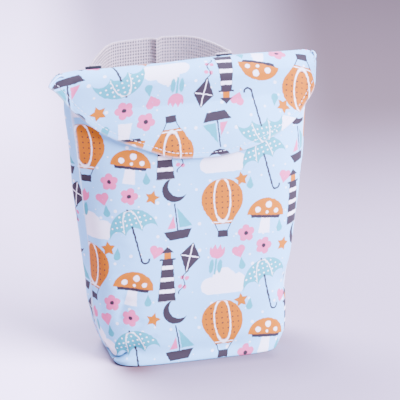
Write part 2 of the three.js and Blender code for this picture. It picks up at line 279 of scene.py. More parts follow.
def slack(a, b, seed, size=1.0):
    dice = np.random.default_rng(seed)
    waves = np.zeros_like(a)
    for _ in range(9):
        turn, length, shift = dice.uniform(0, math.pi), dice.uniform(26, 70), dice.uniform(0, 6.3)
        waves += np.sin((a * math.cos(turn) + b * math.sin(turn)) * 6.28 / length + shift) * length / 70
    return 0.11 * size * waves


def wrinkles(a, b, seed):
    dice = np.random.default_rng(seed)
    waves = np.zeros_like(a)
    for _ in range(7):
        length, reach = dice.uniform(4.5, 9), dice.uniform(30, 80)
        shift, start = dice.uniform(0, 6.3, 2)
        bent = b + 2.5 * np.sin(a / 19 + start) + 0.06 * a
        strength = np.maximum(0, np.sin(a * 6.28 / reach + b / 23 + shift))
        waves += np.sin(bent * 6.28 / length + start) * strength * length / 9
    return 0.06 * waves


print(sum(map(len, CREASES.values())), "small folds")

# %% [markdown]
# ## From a grid of cloth to a piece
# Every sheet here is a grid of points on its outside and the matching grid on its inside, closed by
# a turned edge. The rim could be left square, but cloth is folded over where it is cut, so the rim
# is a half round. The flat place of each point on the cut cloth is kept as the piece's UV map, in
# tenths of a metre, and the print is drawn on that, so it bends with the cloth and never stretches.

# %% Sheets
def lean(points):
    leant = points.copy()
    leant[..., 2] += TILT * points[..., 0] * points[..., 2]
    return leant


def new_piece(name, points, faces, smooth=True):
    mesh = bpy.data.meshes.new(name)
    mesh.from_pydata((points * MM).tolist(), [], [list(map(int, face)) for face in faces])
    mesh.polygons.foreach_set("use_smooth", [smooth] * len(mesh.polygons))
    piece = bpy.data.objects.new(name, mesh)
    bpy.context.collection.objects.link(piece)
    return piece


def corner_values(mesh, values):
    corners = np.zeros(len(mesh.loops), np.int32)
    mesh.loops.foreach_get("vertex_index", corners)
    return values[corners]


def sheet_piece(name, outer, inner, flat, flip=False, rim=(1, 1, 1, 1), marks=None):
    rows, cols = outer.shape[:2]
    count = rows * cols
    ids = np.arange(count).reshape(rows, cols)
    quads = np.stack([ids[:-1, :-1], ids[:-1, 1:], ids[1:, 1:], ids[1:, :-1]], -1).reshape(-1, 4)

    away = np.zeros_like(outer)
    away[0] += unit(outer[0] - outer[1])
    away[-1] += unit(outer[-1] - outer[-2])
    away[:, 0] += unit(outer[:, 0] - outer[:, 1])
    away[:, -1] += unit(outer[:, -1] - outer[:, -2])
    fullness = np.ones((rows, cols, 1))
    fullness[:, -1] = rim[1]
    fullness[:, 0] = rim[3]
    fullness[0] = np.minimum(fullness[0], rim[0])
    fullness[-1] = np.minimum(fullness[-1], rim[2])

    ring = np.concatenate([ids[0], ids[1:, -1], ids[-1, -2::-1], ids[-2:0:-1, 0]])
    middle = ((outer + inner) / 2).reshape(-1, 3)[ring]
    half = ((outer - inner) / 2).reshape(-1, 3)[ring]
    out = (unit(away) * fullness).reshape(-1, 3)[ring] * np.linalg.norm(half, axis=1, keepdims=True)
    points = [outer.reshape(-1, 3), inner.reshape(-1, 3)]
    loops = [ring]
    for k in (1, 2, 3):
        angle = math.pi * k / 4
        points.append(middle + half * math.cos(angle) + out * math.sin(angle))
        loops.append(2 * count + (k - 1) * len(ring) + np.arange(len(ring)))
    loops.append(ring + count)
    edge = [
        np.stack([a, b, np.roll(b, -1), np.roll(a, -1)], 1) for a, b in zip(loops, loops[1:])
    ]
    faces = np.concatenate([quads, *edge, quads[:, ::-1] + count])
    if flip:
        faces = faces[:, ::-1]

    piece = new_piece(name, lean(np.concatenate(points)), faces)
    flat = flat.reshape(-1, 2)
    every_flat = np.concatenate([flat, flat, *[flat[ring]] * 3])
    layer = piece.data.uv_layers.new(name="flat_cloth")
    layer.data.foreach_set("uv", corner_values(piece.data, every_flat / 100).ravel())
    for mark, values in (marks or {}).items():
        values = values.reshape(-1)
        every = np.concatenate([values, values, *[values[ring]] * 3])
        piece.data.attributes.new(mark, "FLOAT", "POINT").data.foreach_set("value", every)
    inside = np.zeros(len(faces), np.int32)
    inside[-len(quads):] = 1
    piece.data.polygons.foreach_set("material_index", inside)
    print(f"{name}: {len(faces)} faces")
    return piece


# %% [markdown]
# ## Front and back panels
# The two panels meet in the side seams, where the real ones are turned in and sewn. At the floor
# they turn under with a very small radius to meet the bottom. Close to a seam the cloth is pulled
# tight, so the slack dies out there, and under the flap it stays small so that the two don't touch.
# The seams themselves are pinched into a crease, more on the left where the bag was pressed flat,
# and the left bottom corner is lifted a little off the table. The rows are closer together near
# the floor and the columns near the seams, where the folds are small. Two marks of painted light
# go with the cloth: a painted highlight close to each seam, and painted shade deep in the tuck,
# where hardly any light gets in.

# %% Front and back panels
TURN_UNDER = 0.4
CROWDED = 0.72
FLAT_PER_HEIGHT = 1.02
LIFT, LIFT_SPREAD = 2.0, {"front": 34, "back": 14}
# The line along which painted shade darkens the deepest part of the tuck.
TUCK_SHADE_LINE = ((-69, 2.6), (-59, 8), 1.0, 0.6)
PINCH_LEFT, PINCH_RIGHT, PINCH_SPREAD = 2.6, 0.7, 3.0


def wall_grid(panel, top, rows, steps):
    other = "back" if panel == "front" else "front"
    way = 1 if panel == "front" else -1
    width = FRONT_WIDTH if panel == "front" else BACK_WIDTH
    f = np.linspace(0, 1, rows + 1)
    across = width * (even_or_crowded(steps, CROWDED) - 0.5)
    from_seam = width / 2 - np.abs(across)
    outer, inner, flat, seam, tuck_shade = [], [], [], [], []
    for z in top * (0.45 * f + 0.55 * f * f):
        row, mate = (panel_row(name, z, steps, CROWDED) for name in (panel, other))
        loop = np.vstack([mate[1:2], row, mate[-2:-1]])
        step = unit(np.diff(loop, axis=0))
        tangent = step[:-1] + step[1:]
        normal = unit(np.stack([tangent[:, 1] * way, -tangent[:, 0] * way, 0 * across], 1))
        heights = np.full_like(across, z)
        depth = pressed(DENTS[panel], row[:, 0], heights) * smoothstep(z, 1, 10)
        loose = smoothstep(from_seam, 2, 22) * smoothstep(z, 2, 26) * (1 - smoothstep(z, 186, 200))
        hidden = 0.35 if panel == "front" and z > 150 else 1.0
        away_from_edges = smoothstep(z, 0.3, 2.5) * smoothstep(from_seam, 0, 6)
        depth += pressed(CREASES[panel], row[:, 0], heights) * away_from_edges
        depth += slack(across, heights, 5 if panel == "front" else 8) * loose * hidden
        depth += wrinkles(across, heights, 31) * loose * smoothstep(-across * way, 0, 60)
        pinch = np.where(across < 0, PINCH_LEFT, PINCH_RIGHT) * np.exp(-from_seam / PINCH_SPREAD)
        depth -= pinch * smoothstep(z, 6, 40) * (1 - smoothstep(z, 180, 202))
        tucked = 1 - min(1.0, z / TURN_UNDER)
        depth += TURN_UNDER * (1 - math.sqrt(1 - tucked * tucked))
        out = row - normal * depth[:, None]
        end = GAP / 2 * unit(np.stack([row[1] - row[0], row[-2] - row[-1]]))
        out[0] += end[0]
        out[-1] += end[1]
        lifted = LIFT * np.exp(-((from_seam / LIFT_SPREAD[panel]) ** 2) - z / 9)
        out[:, 2] += np.where(across < 0, lifted, 0)
        outer.append(out)
        inner.append(out - normal * WALL)
        flat.append(np.stack([across * way, np.full_like(across, z * FLAT_PER_HEIGHT)], 1))
        # Painted highlight: the seam mark makes a pale line close to each seam, where the turned cloth
        # would catch the light.
        seam.append(np.exp(-((from_seam / 0.85) ** 2)))
        # Painted shade deep in the tuck.
        tuck_shade.append(pressed([TUCK_SHADE_LINE] if panel == "front" else [], row[:, 0], heights))
    marks = {"seam": np.array(seam), "tuck_shade": np.array(tuck_shade)}
    return np.array(outer), np.array(inner), np.array(flat), marks


front_outer, front_inner, front_flat, front_marks = wall_grid("front", FRONT_TOP, 150, 180)
back_outer, back_inner, back_flat, back_marks = wall_grid("back", BACK_TOP, 140, 190)
front = sheet_piece(
    "front_panel_cloth", front_outer, front_inner, front_flat,
    rim=(0.2, 0.2, 1, 0.2), marks=front_marks,
)
back = sheet_piece(
    "back_panel_cloth", back_outer, back_inner, back_flat,
    flip=True, rim=(0.2, 0.2, 0.2, 0.2), marks=back_marks,
)

# %% [markdown]
# ## Bottom
# The boxed bottom closes the walls. Its edge follows their lowest rows, a little further in.

# %% Bottom
low_front, low_back = front_inner[0, 4:-4], back_inner[0]
low_back = points_along(low_back, np.linspace(0.03, 0.97, len(low_front)) * run_lengths(low_back)[-1])
share = np.linspace(0, 1, 41)[:, None, None]
floor_of_bag = low_front * (1 - share) + low_back * share
centre = floor_of_bag.mean((0, 1))
from_centre = floor_of_bag - centre
floor_of_bag = centre + from_centre * (1 - 0.9 / np.abs(from_centre).max((0, 1)).clip(1))
floor_of_bag[..., 2] = low_front[:, 2] * (1 - share[..., 0]) ** 4
bottom = sheet_piece(
    "base_panel_cloth", floor_of_bag, floor_of_bag + (0, 0, BASE_WALL), floor_of_bag[..., :2],
    flip=True, rim=(0.5,) * 4, marks={"seam": np.zeros(floor_of_bag.shape[:2])},
)

# %% [markdown]
# ## Flap
# The flap is two layers sewn face to face and turned, so its edge is a little puffed with a line of
# stitches inside it. Each strip of it rolls over from the top of the back panel and hangs before
# the front. It is cut in one with the back panel, so its print comes over the fold upside down. The
# table gives, along the fold, how long the strip is, how far it stands before the bag's front, how
# far it spreads sideways, where its roll is highest and how high that is: the left corner lifts
# off, the right one lies close, and there the end of the roll droops a little.

# %% Flap
FLAP_COLUMNS = "across length stand_off spread crest rise"
FLAP_EDGE = [
    (-106, 22.8, 11.0, 13.0, 0.18, 10.0),
    (-98, 30, 10.0, 10.0, 0.24, 10.8),
    (-84, 53, 7.5, 5.5, 0.34, 11.2),
    (-66, 73.8, 5.0, 2.5, 0.44, 10.9),
    (-42, 89.6, 3.4, 0.8, 0.50, 11.2),
    (-14, 103, 2.8, 0.0, 0.50, 11.6),
    (16, 106.4, 2.6, 0.0, 0.50, 12.3),
    (44, 100.8, 2.6, 0.0, 0.50, 12.2),
    (70, 86.3, 2.6, 0.3, 0.48, 11.3),
    (88, 68.6, 2.4, 0.6, 0.42, 10.6),
    (99, 48.8, 1.8, 1.8, 0.36, 10.8),
    (106, 31, 1.2, 3.6, 0.32, 11.6),
]
FLAP_SIDE = BACK_WIDTH / 2
END_DROOP = 0.2
STITCH_INSET = 3.6
flap_at = reader(FLAP_COLUMNS, FLAP_EDGE)
front_rows = {z: panel_row("front", z, 120) for z in range(120, FRONT_TOP + 1)}


def front_y(x, z):
    row = front_rows[int(min(FRONT_TOP, round(z)))]
    return np.interp(x, row[:, 0], row[:, 1])


def flap_grid(columns, rows):
    grid, flat = [], []
    for i, start in enumerate(panel_row("back", BACK_TOP, columns)):
        across = BACK_WIDTH * (i / columns - 0.5)
        at = flap_at(across)
        front_x = start[0] + np.sign(across) * at["spread"]
        angle = np.linspace(0, np.pi, 97)
        f = (1 - np.cos(angle)) / 2
        skew = math.log(0.5) / math.log(math.acos(1 - 2 * at["crest"]) / math.pi)
        rise = at["rise"] * (1 - END_DROOP * smoothstep(across, FLAP_SIDE - 11, FLAP_SIDE))
        fold_y = front_y(front_x, BACK_TOP) - at["stand_off"]
        roll = np.stack([
            start[0] + (front_x - start[0]) * f,
            start[1] + (fold_y - start[1]) * f,
            BACK_TOP + GAP + rise * np.sin(np.pi * (angle / np.pi) ** skew),
        ], 1)
        down = np.arange(BACK_TOP - 1, BACK_TOP - 90, -1)
        hang = np.array([front_y(front_x, z) - at["stand_off"] for z in down])
        path = np.vstack([roll, np.stack([np.full(len(down), front_x), hang, down], 1)])
        s = np.linspace(0, at["length"], rows + 1)
        grid.append(points_along(path, s))
        flat.append(np.stack([np.full_like(s, across), -s], 1))
    return np.array(grid), np.array(flat)


def seen_from_back(flat):
    return -flat + (0, BACK_TOP * FLAT_PER_HEIGHT)


def grid_normals(grid):
    u = np.gradient(grid, axis=0)
    v = np.gradient(grid, axis=1)
    normal = np.cross(v, u)
    normal[:, 0, 2] = 0
    return unit(normal)


def distance_to(line, places):
    nearest = np.full(len(places), 1e9)
    for a, b in zip(line, line[1:]):
        run = b - a
        t = np.clip(((places - a) @ run) / (run @ run), 0, 1)
        nearest = np.minimum(nearest, np.linalg.norm(places - a - t[:, None] * run, axis=1))
    return nearest


flap_points, flap_flat = flap_grid(180, 96)
edge_across = np.linspace(-FLAP_SIDE, FLAP_SIDE, 161)
edge_line = np.stack([edge_across, -flap_at(edge_across)["length"]], 1)
edge_line = np.vstack([[(-FLAP_SIDE, 0)], edge_line, [(FLAP_SIDE, 0)]])
from_edge = distance_to(edge_line, flap_flat.reshape(-1, 2)).reshape(flap_flat.shape[:2])
from_fold = -flap_flat[..., 1]

groove = -0.16 * np.exp(-(((from_edge - STITCH_INSET) / 0.8) ** 2))
puff = 0.10 * np.exp(-(((from_edge - 1.8) / 1.2) ** 2))
ripple = slack(flap_flat[..., 0], flap_flat[..., 1], 21, 1.3) * smoothstep(from_fold, 6, 30)
lifted = 1 + 1.2 * smoothstep(-flap_flat[..., 0], 40, 100)
raised = (groove + puff) * smoothstep(from_fold, 1, 8) + np.maximum(ripple, -0.25) * lifted
flap_outer = flap_points + grid_normals(flap_points) * raised[..., None]
flap_inner = flap_points - grid_normals(flap_points) * FLAP_WALL
# The seam mark on the flap paints a highlight along its edge.
flap = sheet_piece(
    "flap_cloth", flap_outer, flap_inner, seen_from_back(flap_flat),
    rim=(0.9, 0.9, 0.9, 0.1), marks={"seam": 0.4 * np.exp(-((from_edge / 0.6) ** 2))},
)
flap_area = flap_at(edge_across)["length"].mean() * BACK_WIDTH * MM * MM
print(f"flap: flat area {flap_area * 1e4:.0f} square centimetres")

# %% [markdown]
# ## Handle
# The grab handle is 25 mm plain-woven webbing, bowed out behind the bag and creased where it was
# folded flat for packing. A weave is usually drawn as a bump, but here the yarns are as thick as
# the webbing's edge is deep, so they are modelled: in each cell of the weave either the lengthwise
# or the crosswise yarn lies on top. The cells are a little longer across than along, and where four
# of them meet the weave is open, which is drawn with painted shade.

# %% Handle
WEBBING_WIDTH = 25
WEBBING_THICK = 1.6
PAD_WIDTH = 13
PAD_THICK = 1.6
PAD_BOTTOM = 204.5
PAD_LEFT_X = -67.5
PAD_RIGHT_X = 38.3
STRAP_RUN = [
    (-70, 3, 0), (-66.5, 12, 0.5), (-58.5, 28, 1.5), (-50, 42, 2.4), (-43, 47.5, 2.8),
    (-29, 50, 3), (-14, 51.5, 3), (0, 51.5, 3), (14, 49.5, 2.8), (24, 44, 2.3),
    (32.5, 31, 1.5), (40, 12, 0.5), (42.3, 3, 0),
]
CREASE_X, CREASE_DEPTH, CREASE_SPREAD = -8, 4.8, 2.8
YARN_ALONG, YARN_ACROSS = 2.2, 2.6
PAD_HEIGHTS = (PAD_BOTTOM, PAD_BOTTOM + 8, BACK_TOP)
SEATS = ((PAD_WIDTH / 2, 0), (2, 0.05), (-2, 0.5))
back_at_pads = np.concatenate([panel_row("back", z, 34) for z in PAD_HEIGHTS])


def on_pad(x, along, lift):
    near = (back_at_pads[:, 1] > 0) & (np.abs(back_at_pads[:, 0] - x) < PAD_WIDTH / 2 + 8)
    points = back_at_pads[near]
    first, last = points[points[:, 0].argmin()], points[points[:, 0].argmax()]
    turn = math.atan((last[1] - first[1]) / (last[0] - first[0]) * 0.5)
    normal = np.array([-math.sin(turn), math.cos(turn)])
    face = ((points[:, :2] - (x, 0)) @ normal).max() + GAP
    out = face + PAD_THICK + GAP + WEBBING_THICK / 2 + lift
    spot = np.array([x, 0]) + normal * out + np.array([math.cos(turn), math.sin(turn)]) * along
    return np.array([spot[0], spot[1], 0])


def smooth_line(points, steps):
    points = np.vstack([2 * points[0] - points[1], points, 2 * points[-1] - points[-2]])
    line = []
    for p0, p1, p2, p3 in zip(points, points[1:], points[2:], points[3:]):
        d0, d1, d2 = (math.sqrt(np.linalg.norm(b - a)) for a, b in ((p0, p1), (p1, p2), (p2, p3)))
        leave = d1 * ((p1 - p0) / d0 - (p2 - p0) / (d0 + d1) + (p2 - p1) / d1)
        arrive = d1 * ((p2 - p1) / d1 - (p3 - p1) / (d1 + d2) + (p3 - p2) / d2)
        t = np.linspace(0, 1, steps, endpoint=False)[:, None]
        line.append(
            p1 * (1 + 2 * t) * (1 - t) ** 2 + p2 * t * t * (3 - 2 * t)
            + t * (1 - t) * (leave * (1 - t) - arrive * t)
        )
    return np.vstack([*line, points[-2:-1]])


left_seat = [on_pad(PAD_LEFT_X, along, lift) for along, lift in SEATS]
right_seat = [on_pad(PAD_RIGHT_X, -along, lift) for along, lift in reversed(SEATS)]
run = [(x, left_seat[0][1] + behind, rise) for x, behind, rise in STRAP_RUN]
strap_line = smooth_line(np.array([*left_seat, *run, *right_seat]), 40)
strap_length = run_lengths(strap_line)[-1]
strap_line = points_along(strap_line, np.linspace(0, strap_length, 481))
dip = CREASE_DEPTH * np.exp(-(((strap_line[:, 0] - CREASE_X) / CREASE_SPREAD) ** 2))
strap_line[:, 1] -= np.where(strap_line[:, 1] > 60, dip, 0)
strap_length = run_lengths(strap_line)[-1]
strap_line = points_along(strap_line, np.linspace(0, strap_length, 641))


def weave(along, across):
    i, j = np.floor(along / YARN_ALONG), np.floor(across / YARN_ACROSS)
    a, b = along / YARN_ALONG - i - 0.5, across / YARN_ACROSS - j - 0.5
    lengthwise = np.cos(np.pi * b) * (0.55 + 0.45 * np.cos(np.pi * a))
    crosswise = np.cos(np.pi * a) * (0.55 + 0.45 * np.cos(np.pi * b))
    corner = np.hypot(0.5 - np.abs(a), 0.5 - np.abs(b))
    return np.where((i + j) % 2 == 0, lengthwise, crosswise), np.clip(1.7 - 3.4 * corner, 0, 1)


strap_s = np.linspace(0, strap_length, len(strap_line))[:, None] + np.zeros((1, 67))
strap_t = np.linspace(0, WEBBING_WIDTH, 67)[None, :] + np.zeros((len(strap_line), 1))
# The second result marks where painted shade fills the weave's open corners.
yarns, gap_shades = weave(strap_s, strap_t)
strap_way = unit(np.gradient(strap_line[:, :2], axis=0))
strap_out = np.stack([-strap_way[:, 1], strap_way[:, 0], 0 * strap_way[:, 0]], 1)[:, None, :]
strap_middle = np.zeros((*strap_s.shape, 3))
strap_middle[..., :2] = strap_line[:, None, :2]
strap_middle[..., 2] = PAD_BOTTOM + strap_line[:, None, 2] + strap_t
thick = (WEBBING_THICK / 2 - 0.38 * (1 - yarns))[..., None]
strap = sheet_piece(
    "handle_webbing", strap_middle + strap_out * thick, strap_middle - strap_out * thick,
    np.stack([strap_s, strap_t], -1), rim=(0.5, 0.9, 0.5, 0.9), marks={"yarn": yarns, "gap_shade": gap_shades},
)
print(f"webbing: {strap_length:.0f} mm long")

# %% [markdown]
# ## Hook pads
# Under the ends of the handle sit two black pads of hook tape. Each is a copy of its CAD block with
# its edges rounded; the hooks themselves are grown further down.

# %% Hook pads
pads = {}
for node in ("hook_pad_left", "hook_pad_right"):
    solid = bmesh.new()
    solid.from_mesh(frame["nodes"][node].data)
    bmesh.ops.remove_doubles(solid, verts=solid.verts, dist=1e-6)
    bmesh.ops.dissolve_limit(solid, angle_limit=0.02, verts=solid.verts, edges=solid.edges)
    bmesh.ops.bevel(
        solid, geom=solid.edges[:], offset=0.45 * MM, offset_type="OFFSET", segments=3, profile=0.5,
        affect="EDGES", clamp_overlap=True,
    )
    bmesh.ops.recalc_face_normals(solid, faces=solid.faces)
    mesh = bpy.data.meshes.new(node + "_tape")
    solid.to_mesh(mesh)
    solid.free()
    mesh.polygons.foreach_set("use_smooth", [True] * len(mesh.polygons))
    pads[node] = bpy.data.objects.new(node + "_tape", mesh)
    bpy.context.collection.objects.link(pads[node])
    print(node, len(mesh.polygons), "faces")

# %% [markdown]
# ## Materials as sums
# A print, a weave or a speckle is a sum over places on the cloth. Written as node links such a sum
# is hard to read, so one small class stands for a socket and Python's own operators add the nodes.
# Colours go through Mix nodes, because a Math node would turn them grey.

# %% A socket with operators
def srgb(red, green, blue):
    def channel(c):
        c = c / 255
        return c / 12.92 if c <= 0.04045 else ((c + 0.055) / 1.055) ** 2.4

    return (channel(red), channel(green), channel(blue), 1.0)


class Field:
    def __init__(self, socket):
        self.socket = socket
        self.tree = socket.id_data

    def node(self, kind, settings, values, output=0):
        made = self.tree.nodes.new(kind)
        for name, value in settings.items():
            setattr(made, name, value)
        for key, value in values.items():
            if isinstance(value, Field):
                self.tree.links.new(value.socket, made.inputs[key])
            else:
                made.inputs[key].default_value = value
        return Field(made.outputs[output])

    def calc(self, operation, *values, clamp=False):
        vector = any(
            isinstance(v, tuple) or isinstance(v, Field) and v.socket.type == "VECTOR" for v in values
        )
        if vector:
            values = [v if isinstance(v, (Field, tuple)) else (v, v, v) for v in values]
            output = "Value" if operation in ("LENGTH", "DISTANCE") else "Vector"
            settings = {"operation": operation}
            return self.node("ShaderNodeVectorMath", settings, dict(enumerate(values)), output)
        settings = {"operation": operation, "use_clamp": clamp}
        return self.node("ShaderNodeMath", settings, dict(enumerate(values)))

    def __add__(self, other):
        return self.calc("ADD", self, other)

    __radd__ = __add__

    def __sub__(self, other):
        return self.calc("SUBTRACT", self, other)

    def __rsub__(self, other):
        return self.calc("SUBTRACT", other, self)

    def __mul__(self, other):
        return self.calc("MULTIPLY", self, other)

    __rmul__ = __mul__

    def __truediv__(self, other):
        return self.calc("DIVIDE", self, other)

    def __neg__(self):
        return self * -1

    def __abs__(self):
        return self.calc("ABSOLUTE", self)

    def low(self, other):
        return self.calc("MINIMUM", self, other)

    def high(self, other):
        return self.calc("MAXIMUM", self, other)

    def length(self):
        return self.calc("LENGTH", self)

    def from_place(self, x, y):
        return self.calc("DISTANCE", self, (x, y, 0))

    def split(self):
        made = self.node("ShaderNodeSeparateXYZ", {}, {0: self})
        return made, Field(made.socket.node.outputs[1])

    def joined(self, y):
        return self.node("ShaderNodeCombineXYZ", {}, {0: self, 1: y})

    def inside(self, soft):
        return self.calc("MULTIPLY_ADD", self, -1 / soft, 0.5, clamp=True)

    def between(self, low, high):
        settings = {"data_type": "RGBA", "clamp_factor": True}
        return self.node("ShaderNodeMix", settings, {0: self, 6: low, 7: high}, 2)

    def over(self, mask, colour):
        return mask.between(self, colour)

    def times(self, colour):
        settings = {"data_type": "RGBA", "blend_type": "MULTIPLY"}
        return self.node("ShaderNodeMix", settings, {0: 1.0, 6: colour, 7: self}, 2)

    def ramp(self, start, end, low=0.0, high=1.0):
        settings = {"interpolation_type": "SMOOTHSTEP"}
        return self.node("ShaderNodeMapRange", settings, {0: self, 1: start, 2: end, 3: low, 4: high})

    def bump(self, strength, distance):
        return self.node("ShaderNodeBump", {}, {"Strength": strength, "Distance": distance, "Height": self})


def new_material(name, **constants):
    material = bpy.data.materials.new(name)
    material.use_nodes = True
    shader = material.node_tree.nodes["Principled BSDF"]
    for key, value in constants.items():
        shader.inputs[key.replace("_", " ")].default_value = value
    return material, shader


def source(material, kind, output, **settings):
    made = material.node_tree.nodes.new(kind)
    for key, value in settings.items():
        setattr(made, key, value)
    return Field(made.outputs[output])


def feed(shader, name, field):
    field.tree.links.new(field.socket, shader.inputs[name])


print("ready to write materials")

# %% [markdown]
# ## The print
# The bag carries an all-over nursery print in orange, teal, plum, pink and white on pale blue. The
# one here is a plain design of its own with the same colours, scale and bustle: balloons, umbrellas,
# toadstools, lighthouses, boats, kites and small fillers between white specks. Each motif is a signed
# distance, negative inside, built from circles, edges and angles. It repeats in a half drop, where
# each column of copies sits half a repeat higher than its neighbour, as printed cloth often does.

# %% Motifs
REPEAT_ACROSS = 108
REPEAT_UP = 98


def petals(p, count):
    x, y = p.split()
    angle = p.calc("ARCTAN2", y, x)
    folded = angle.calc("WRAP", angle, math.pi / count, -math.pi / count)
    r = p.length()
    return r, r * folded.calc("COSINE", folded), abs(r * folded.calc("SINE", folded))


def spots(x, y, pitch, radius):
    half = pitch / 2
    return x.calc("WRAP", x, half, -half).joined(y.calc("WRAP", y, half, -half)).length() - radius


def balloon(p):
    x, y = p.split()
    wide = abs(x)
    cone = (wide * 0.824 - y * 0.566 - 17).high(y + 9.6).high(-20 - y)
    bag = (p.length() - 17).low(cone)
    ropes = (abs(wide - y * 0.5 - 16.3) - 0.45).high(abs(y + 22.5) - 3)
    basket = (wide - 4.2).high(abs(y + 27.6) - 2.8)
    gores = abs((x / 6.6).joined(y / 18).length() - 1) * 6.6 - 0.5
    rim = abs(y + 18.2) - 0.45
    seeds = spots(x, y - 2, 4.4, 0.62)
    return [("orange", bag), ("plum", ropes.low(basket).low(seeds.high(bag + 2.2))),
            ("detail", gores.low(rim).high(bag + 0.5))]


def lighthouse(p):
    x, y = p.split()
    wide = abs(x)
    tower = (wide + y * 0.09 - 5.6).high(abs(y + 3) - 17)
    bands = abs(y.calc("WRAP", y + 2, 4.8, -4.8)) - 1.5
    gallery = (wide - 6.4).high(abs(y - 14) - 0.8)
    lamp_room = (wide - 2.9).high(abs(y - 17) - 2.6)
    roof = (wide * 0.7 + y * 0.7 - 17.2).high(19.4 - y)
    walls = tower.low(gallery).low(roof)
    return [("plum", walls), ("orange", lamp_room), ("detail", bands.high(tower + 0.3))]


def tulip(p):
    x, y = p.split()
    zigzag = y - 9.2 + abs(x.calc("WRAP", x + 2.1, 2.1, -2.1)) * 1.9
    cup = (p.from_place(0, 4) - 6.3).high(zigzag)
    stem = (abs(x) - 0.75).high(abs(y + 8) - 7)
    leaves = ((abs(x) - 3.4) / 1.9).joined((y + 8.5) / 5.4).length() - 1
    return [("pink", cup), ("teal", stem.low(leaves * 1.9))]


def umbrella(p):
    x, y = p.split()
    wide = abs(x)
    scallops = (p.from_place(0, -2.2) - 7.0).low(wide.joined(y).from_place(13, -2.2) - 6.8)
    canopy = (p.length() - 19.5).high(-y).high(-scallops)
    ribs = abs((x / 7.2).joined(y / 19.5).length() - 1) * 7 - 0.32
    shaft = (wide - 0.75).high(abs(y + 1) - 21.5)
    crook = (abs(p.from_place(3.1, -22) - 3.1) - 0.75).high(y + 22)
    dots = spots(x, y, 3.9, 0.7).high(canopy + 1.2)
    return [("teal", canopy), ("plum", (shaft.high(canopy * -1 - 1.5)).low(crook)),
            ("detail", ribs.high(canopy + 0.6).low(dots))]


def toadstool(p):
    x, y = p.split()
    cap = ((x / 1.15).joined(y).length() - 14).high(-y)
    gills = (abs(x) - 13 - y * 0.4).high(abs(y + 0.9) - 1.2)
    stem = (abs(x) - 3.6 + y * 0.1).high(abs(y + 7) - 7)
    warts = (p.from_place(-7.5, 4.5) - 2.3).low(p.from_place(1.5, 8.6) - 2.6)
    warts = warts.low(p.from_place(8.6, 3.8) - 1.9).low(p.from_place(0.6, 2.6) - 1.2)
    return [("white", stem), ("plum", gills), ("orange", cap), ("detail", warts)]


def cloud(p):
    x, y = p.split()
    puffs = (p.from_place(-1, 3.5) - 9.6).low(p.from_place(-12.5, -1) - 6.8)
    puffs = puffs.low(p.from_place(10.6, -0.2) - 7.6)
    base = (abs(x) - 14.5).high(abs(y + 4.4) - 3.4)
    return [("white", puffs.low(base))]


def boat(p):
    x, y = p.split()
    hull = (abs(y + 9) - 3.6).high(abs(x) - 14.5 - y * 0.55)
    mast = (abs(x) - 0.6).high(abs(y - 5) - 11)
    main = (1.6 - x).high(-3.6 - y).high(x * 0.84 + y * 0.54 - 8.2)
    jib = (x + 1.6).high(-3.6 - y).high(y * 0.54 - x * 0.84 - 5.0)
    return [("plum", hull.low(mast)), ("teal", main), ("pink", jib)]


def kite(p):
    x, y = p.split()
    body = (abs(x) / 8.5 + abs(y - 1) / (12.5 - y * 0.12) - 1) * 6.5
    spars = (abs(x).low(abs(y - 1)) - 0.4).high(body + 0.8)
    tail = (abs(x - (y * 0.5).calc("SINE", y * 0.5) * 1.7) - 0.5).high(abs(y + 20) - 10)
    bows = (abs(x).joined(abs(y + 20)).from_place(1.9, 3.6) - 1.7)
    return [("plum", body.low(tail)), ("detail", spars), ("pink", bows)]


def moon(p):
    return [("plum", (p.length() - 10).high(8.9 - p.from_place(4.3, 2.4)))]


def star(p):
    _, out, side = petals(p, 5)
    return [("orange", (out - 6.2) * 0.47 + side * 0.88)]


def flower(p):
    r, out, side = petals(p, 5)
    petal = out.joined(side).from_place(4.1, 0) - 3.0
    return [("pink", petal.low(r - 3)), ("plum", r - 1.7)]


def heart(p):
    x, y = p.split()
    wide = abs(x)
    lobes = wide.joined(y).from_place(2.5, 1.4) - 3.1
    point = (wide * 0.742 - y * 0.67 - 4.02).high(y + 0.6)
    return [("pink", lobes.low(point))]


def drop(p):
    x, y = p.split()
    return [("teal", (p.length() - 2.8).low((abs(x) * 0.92 + y * 0.39 - 2.8).high(-y)))]


LAYOUT = [
    (balloon, 18, 31, 0), (cloud, 20, 61, 0), (tulip, 13, 84, -6), (umbrella, 55, 58, 14),
    (toadstool, 54, 14, -8), (lighthouse, 81, 22, 0), (kite, 99, 36, -14), (boat, 89, 64, 5),
    (moon, 88, 91, 10), (flower, 52, 88, 0), (flower, 37, 2, 20), (heart, 31, 86, 14),
    (heart, 72, 43, -18), (star, 70, 86, 0), (star, 34, 46, 25), (drop, 34, 74, 6),
    (drop, 41, 40, -6), (drop, 66, 2, 0),
]
print(len(LAYOUT), "motifs in a repeat")

# %% [markdown]
# The cloth under the print is a plain weave with a matt coating. The motifs are laid down colour by
# colour, as a printer's screens do, with slightly uneven edges. The same finish carries a painted
# highlight, a pale line along the seams and the flap's edge, and painted shade, a dark line deep in
# the tuck.

# %% Printed cloth
INKS = {
    "white": srgb(251, 248, 247),
    "orange": srgb(186, 102, 6),
    "teal": srgb(54, 166, 168),
    "pink": srgb(222, 99, 140),
    "plum": srgb(51, 42, 44),
    "detail": srgb(252, 248, 242),
}
GROUND = srgb(143, 210, 242)
# Painted highlight along the seams and the flap's edge, and painted shade deep in the tuck.
SEAM_PAINTED_HIGHLIGHT = srgb(228, 242, 250)
TUCK_PAINTED_SHADE = srgb(22, 66, 84)
SPECK_PITCH = 11
THREAD_PITCH = 0.62
TAU = 2 * math.pi


